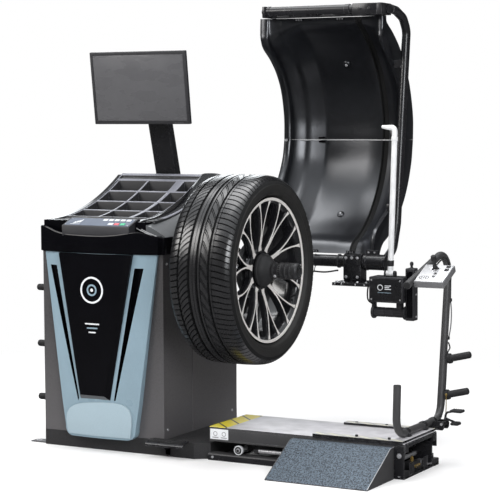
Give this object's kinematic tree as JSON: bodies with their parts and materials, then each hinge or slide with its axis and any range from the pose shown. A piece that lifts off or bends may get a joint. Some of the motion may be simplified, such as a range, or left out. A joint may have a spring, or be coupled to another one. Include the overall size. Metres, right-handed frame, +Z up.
{
  "type": "wheel balancer",
  "caption": "Free-standing car wheel balancer: cabinet with tray and tilting screen, clamped wheel on a spindle, swinging hood, side gauges and a scissor floor lift with ramp.",
  "frame": {"origin": "on the floor, under the centre of the cabinet", "axes": "+Z up, +X along the spindle from the cabinet to the wheel, -Y towards the operator"},
  "size_m": [1.6979, 1.2369, 1.701],
  "materials": {
    "hammered_paint": "hammered grey",
    "black_paint": "satin black",
    "trim_plastic": "satin grey blue",
    "gloss_black": "gloss",
    "dark_plastic": "fine texture",
    "tray_plastic": "fine texture",
    "screen": "screen, switched off",
    "hood_plastic": "gloss",
    "bright_steel": "turned",
    "gauge_tube": "brushed",
    "cast_black": "black",
    "rubber": "matt",
    "tyre": "matt",
    "rim_alloy": "black paint with machined faces",
    "lift_plate": "satin silver",
    "ramp_grit": "anti-slip grit",
    "panel_silver": "satin silver"
  },
  "bodies": {
    "base": {"base_plinth": "hammered_paint", "cabinet_shell": "hammered_paint", "rear_panel": "hammered_paint", "front_trim": "trim_plastic", "front_centre_panel": "gloss_black", "console_cover": "gloss_black", "weight_tray": "tray_plastic", "keypad_panel": "dark_plastic", "side_peg_top": "rubber", "side_peg_middle": "rubber", "side_peg_low": "rubber", "monitor_post": "black_paint", "spindle_housing": "cast_black", "bearing_front": "bright_steel", "bearing_rear": "bright_steel", "housing_pedestal": "cast_black", "drive_motor": "cast_black", "drive_belt": "rubber", "hood_pivot_bracket": "black_paint", "hood_pivot_bar": "black_paint", "gauge_clamp_block": "black_paint", "gauge_box": "dark_plastic", "gauge_column": "dark_plastic", "gauge_guide_bar": "dark_plastic", "lift_base": "black_paint", "lift_ramp": "ramp_grit", "lift_cylinder": "black_paint"},
    "spindle": {"spindle_shaft": "bright_steel", "spindle_pulley": "cast_black", "backing_flange": "bright_steel", "wheel_rim": "rim_alloy", "wheel_tyre": "tyre", "pressure_cup": "cast_black"},
    "nut": {"quick_nut": "cast_black"},
    "motor_rotor": {"motor_pulley": "bright_steel"},
    "pedal": {"brake_pedal": "black_paint"},
    "brake": {"brake_lever": "bright_steel"},
    "inner_slider": {"inner_gauge_slider": "dark_plastic"},
    "inner_arm": {"inner_gauge_arm": "gauge_tube"},
    "hood": {"hood_sleeve_left": "black_paint", "hood_sleeve_right": "black_paint", "hood_frame_tube": "black_paint", "hood_top_bar": "black_paint", "hood_shell_upper": "hood_plastic", "hood_shell_lower": "hood_plastic"},
    "outer_gauge": {"outer_gauge_arm": "gauge_tube"},
    "monitor": {"monitor_housing": "dark_plastic", "monitor_screen": "screen"},
    "outer_bars": {"scissor_outer": "black_paint"},
    "inner_bars": {"scissor_inner": "black_paint"},
    "roller": {"scissor_roller": "panel_silver"},
    "platform": {"lift_platform": "lift_plate"},
    "carriage": {"lift_table": "lift_plate", "lift_handle_tube": "black_paint", "control_box": "panel_silver", "post_peg_upper": "rubber", "post_peg_lower": "rubber"},
    "gimbal": {"joystick_gimbal": "bright_steel"},
    "stick": {"joystick": "rubber"},
    "foot_lever": {"foot_lever": "black_paint"}
  },
  "joints": [
    {"name": "spindle_spin", "type": "hinge", "parent": "base", "child": "spindle", "pos_m": [0, -0.12, 0.7], "axis": [1, 0, 0], "continuous": true},
    {"name": "quick_nut_slide", "type": "slide", "parent": "spindle", "child": "nut", "axis": [1, 0, 0], "range_m": [0, 0.02]},
    {"name": "motor_spin", "type": "hinge", "parent": "base", "child": "motor_rotor", "pos_m": [0, 0.08, 0.45], "axis": [1, 0, 0], "continuous": true},
    {"name": "brake_pedal_press", "type": "hinge", "parent": "base", "child": "pedal", "pos_m": [0.285, -0.17, 0.035], "axis": [1, 0, 0], "range_deg": [0, 8]},
    {"name": "brake_lever_swing", "type": "hinge", "parent": "base", "child": "brake", "pos_m": [-0.005, -0.235, 0.6], "axis": [1, 0, 0], "range_deg": [-1.2, 0]},
    {"name": "inner_gauge_slide", "type": "slide", "parent": "base", "child": "inner_slider", "axis": [1, 0, 0], "range_m": [0, 0.05]},
    {"name": "inner_gauge_swing", "type": "hinge", "parent": "inner_slider", "child": "inner_arm", "pos_m": [0.33, 0.06, 0.8], "axis": [1, 0, 0], "range_deg": [-40, 40]},
    {"name": "hood_swing", "type": "hinge", "parent": "base", "child": "hood", "pos_m": [0, 0.36, 0.7], "axis": [1, 0, 0], "range_deg": [0, 70]},
    {"name": "outer_gauge_swing", "type": "hinge", "parent": "base", "child": "outer_gauge", "pos_m": [0.943, 0.28, 0.668], "axis": [1, 0, 0], "range_deg": [0, 65]},
    {"name": "monitor_tilt", "type": "hinge", "parent": "base", "child": "monitor", "pos_m": [-0.079, 0.137, 1.385], "axis": [1, 0, 0], "range_deg": [-15, 5]},
    {"name": "scissor_lift", "type": "hinge", "parent": "base", "child": "outer_bars", "pos_m": [1.17, 0, 0.0445], "axis": [0, 1, 0], "range_deg": [0, 18]},
    {"name": "scissor_cross", "type": "hinge", "parent": "outer_bars", "child": "inner_bars", "pos_m": [0.8725, 0, 0.0645], "axis": [0, 1, 0], "range_deg": [-36, 0]},
    {"name": "platform_level", "type": "hinge", "parent": "inner_bars", "child": "platform", "pos_m": [1.17, 0, 0.0845], "axis": [0, 1, 0], "range_deg": [0, 18]},
    {"name": "roller_spin", "type": "hinge", "parent": "inner_bars", "child": "roller", "pos_m": [0.575, 0, 0.0445], "axis": [0, 1, 0], "continuous": true},
    {"name": "table_slide", "type": "slide", "parent": "platform", "child": "carriage", "axis": [1, 0, 0], "range_m": [-0.1, 0]},
    {"name": "joystick_roll", "type": "hinge", "parent": "carriage", "child": "gimbal", "pos_m": [1.2701, -0.05777, 0.71902], "axis": [1, 0, 0], "range_deg": [-15, 15]},
    {"name": "joystick_pitch", "type": "hinge", "parent": "gimbal", "child": "stick", "pos_m": [1.2701, -0.05777, 0.71902], "axis": [0, 0.9063, 0.4226], "range_deg": [-15, 15]},
    {"name": "foot_lever_press", "type": "hinge", "parent": "carriage", "child": "foot_lever", "pos_m": [1.256, 0.06, 0.15], "axis": [0, 1, 0], "range_deg": [0, 12]}
  ],
  "couplings": [
    {"joint": "motor_spin", "follows": "spindle_spin", "ratio": 3},
    {"joint": "brake_lever_swing", "follows": "brake_pedal_press", "ratio": -0.15},
    {"joint": "scissor_cross", "follows": "scissor_lift", "ratio": -2},
    {"joint": "platform_level", "follows": "scissor_lift", "ratio": 1}
  ]
}
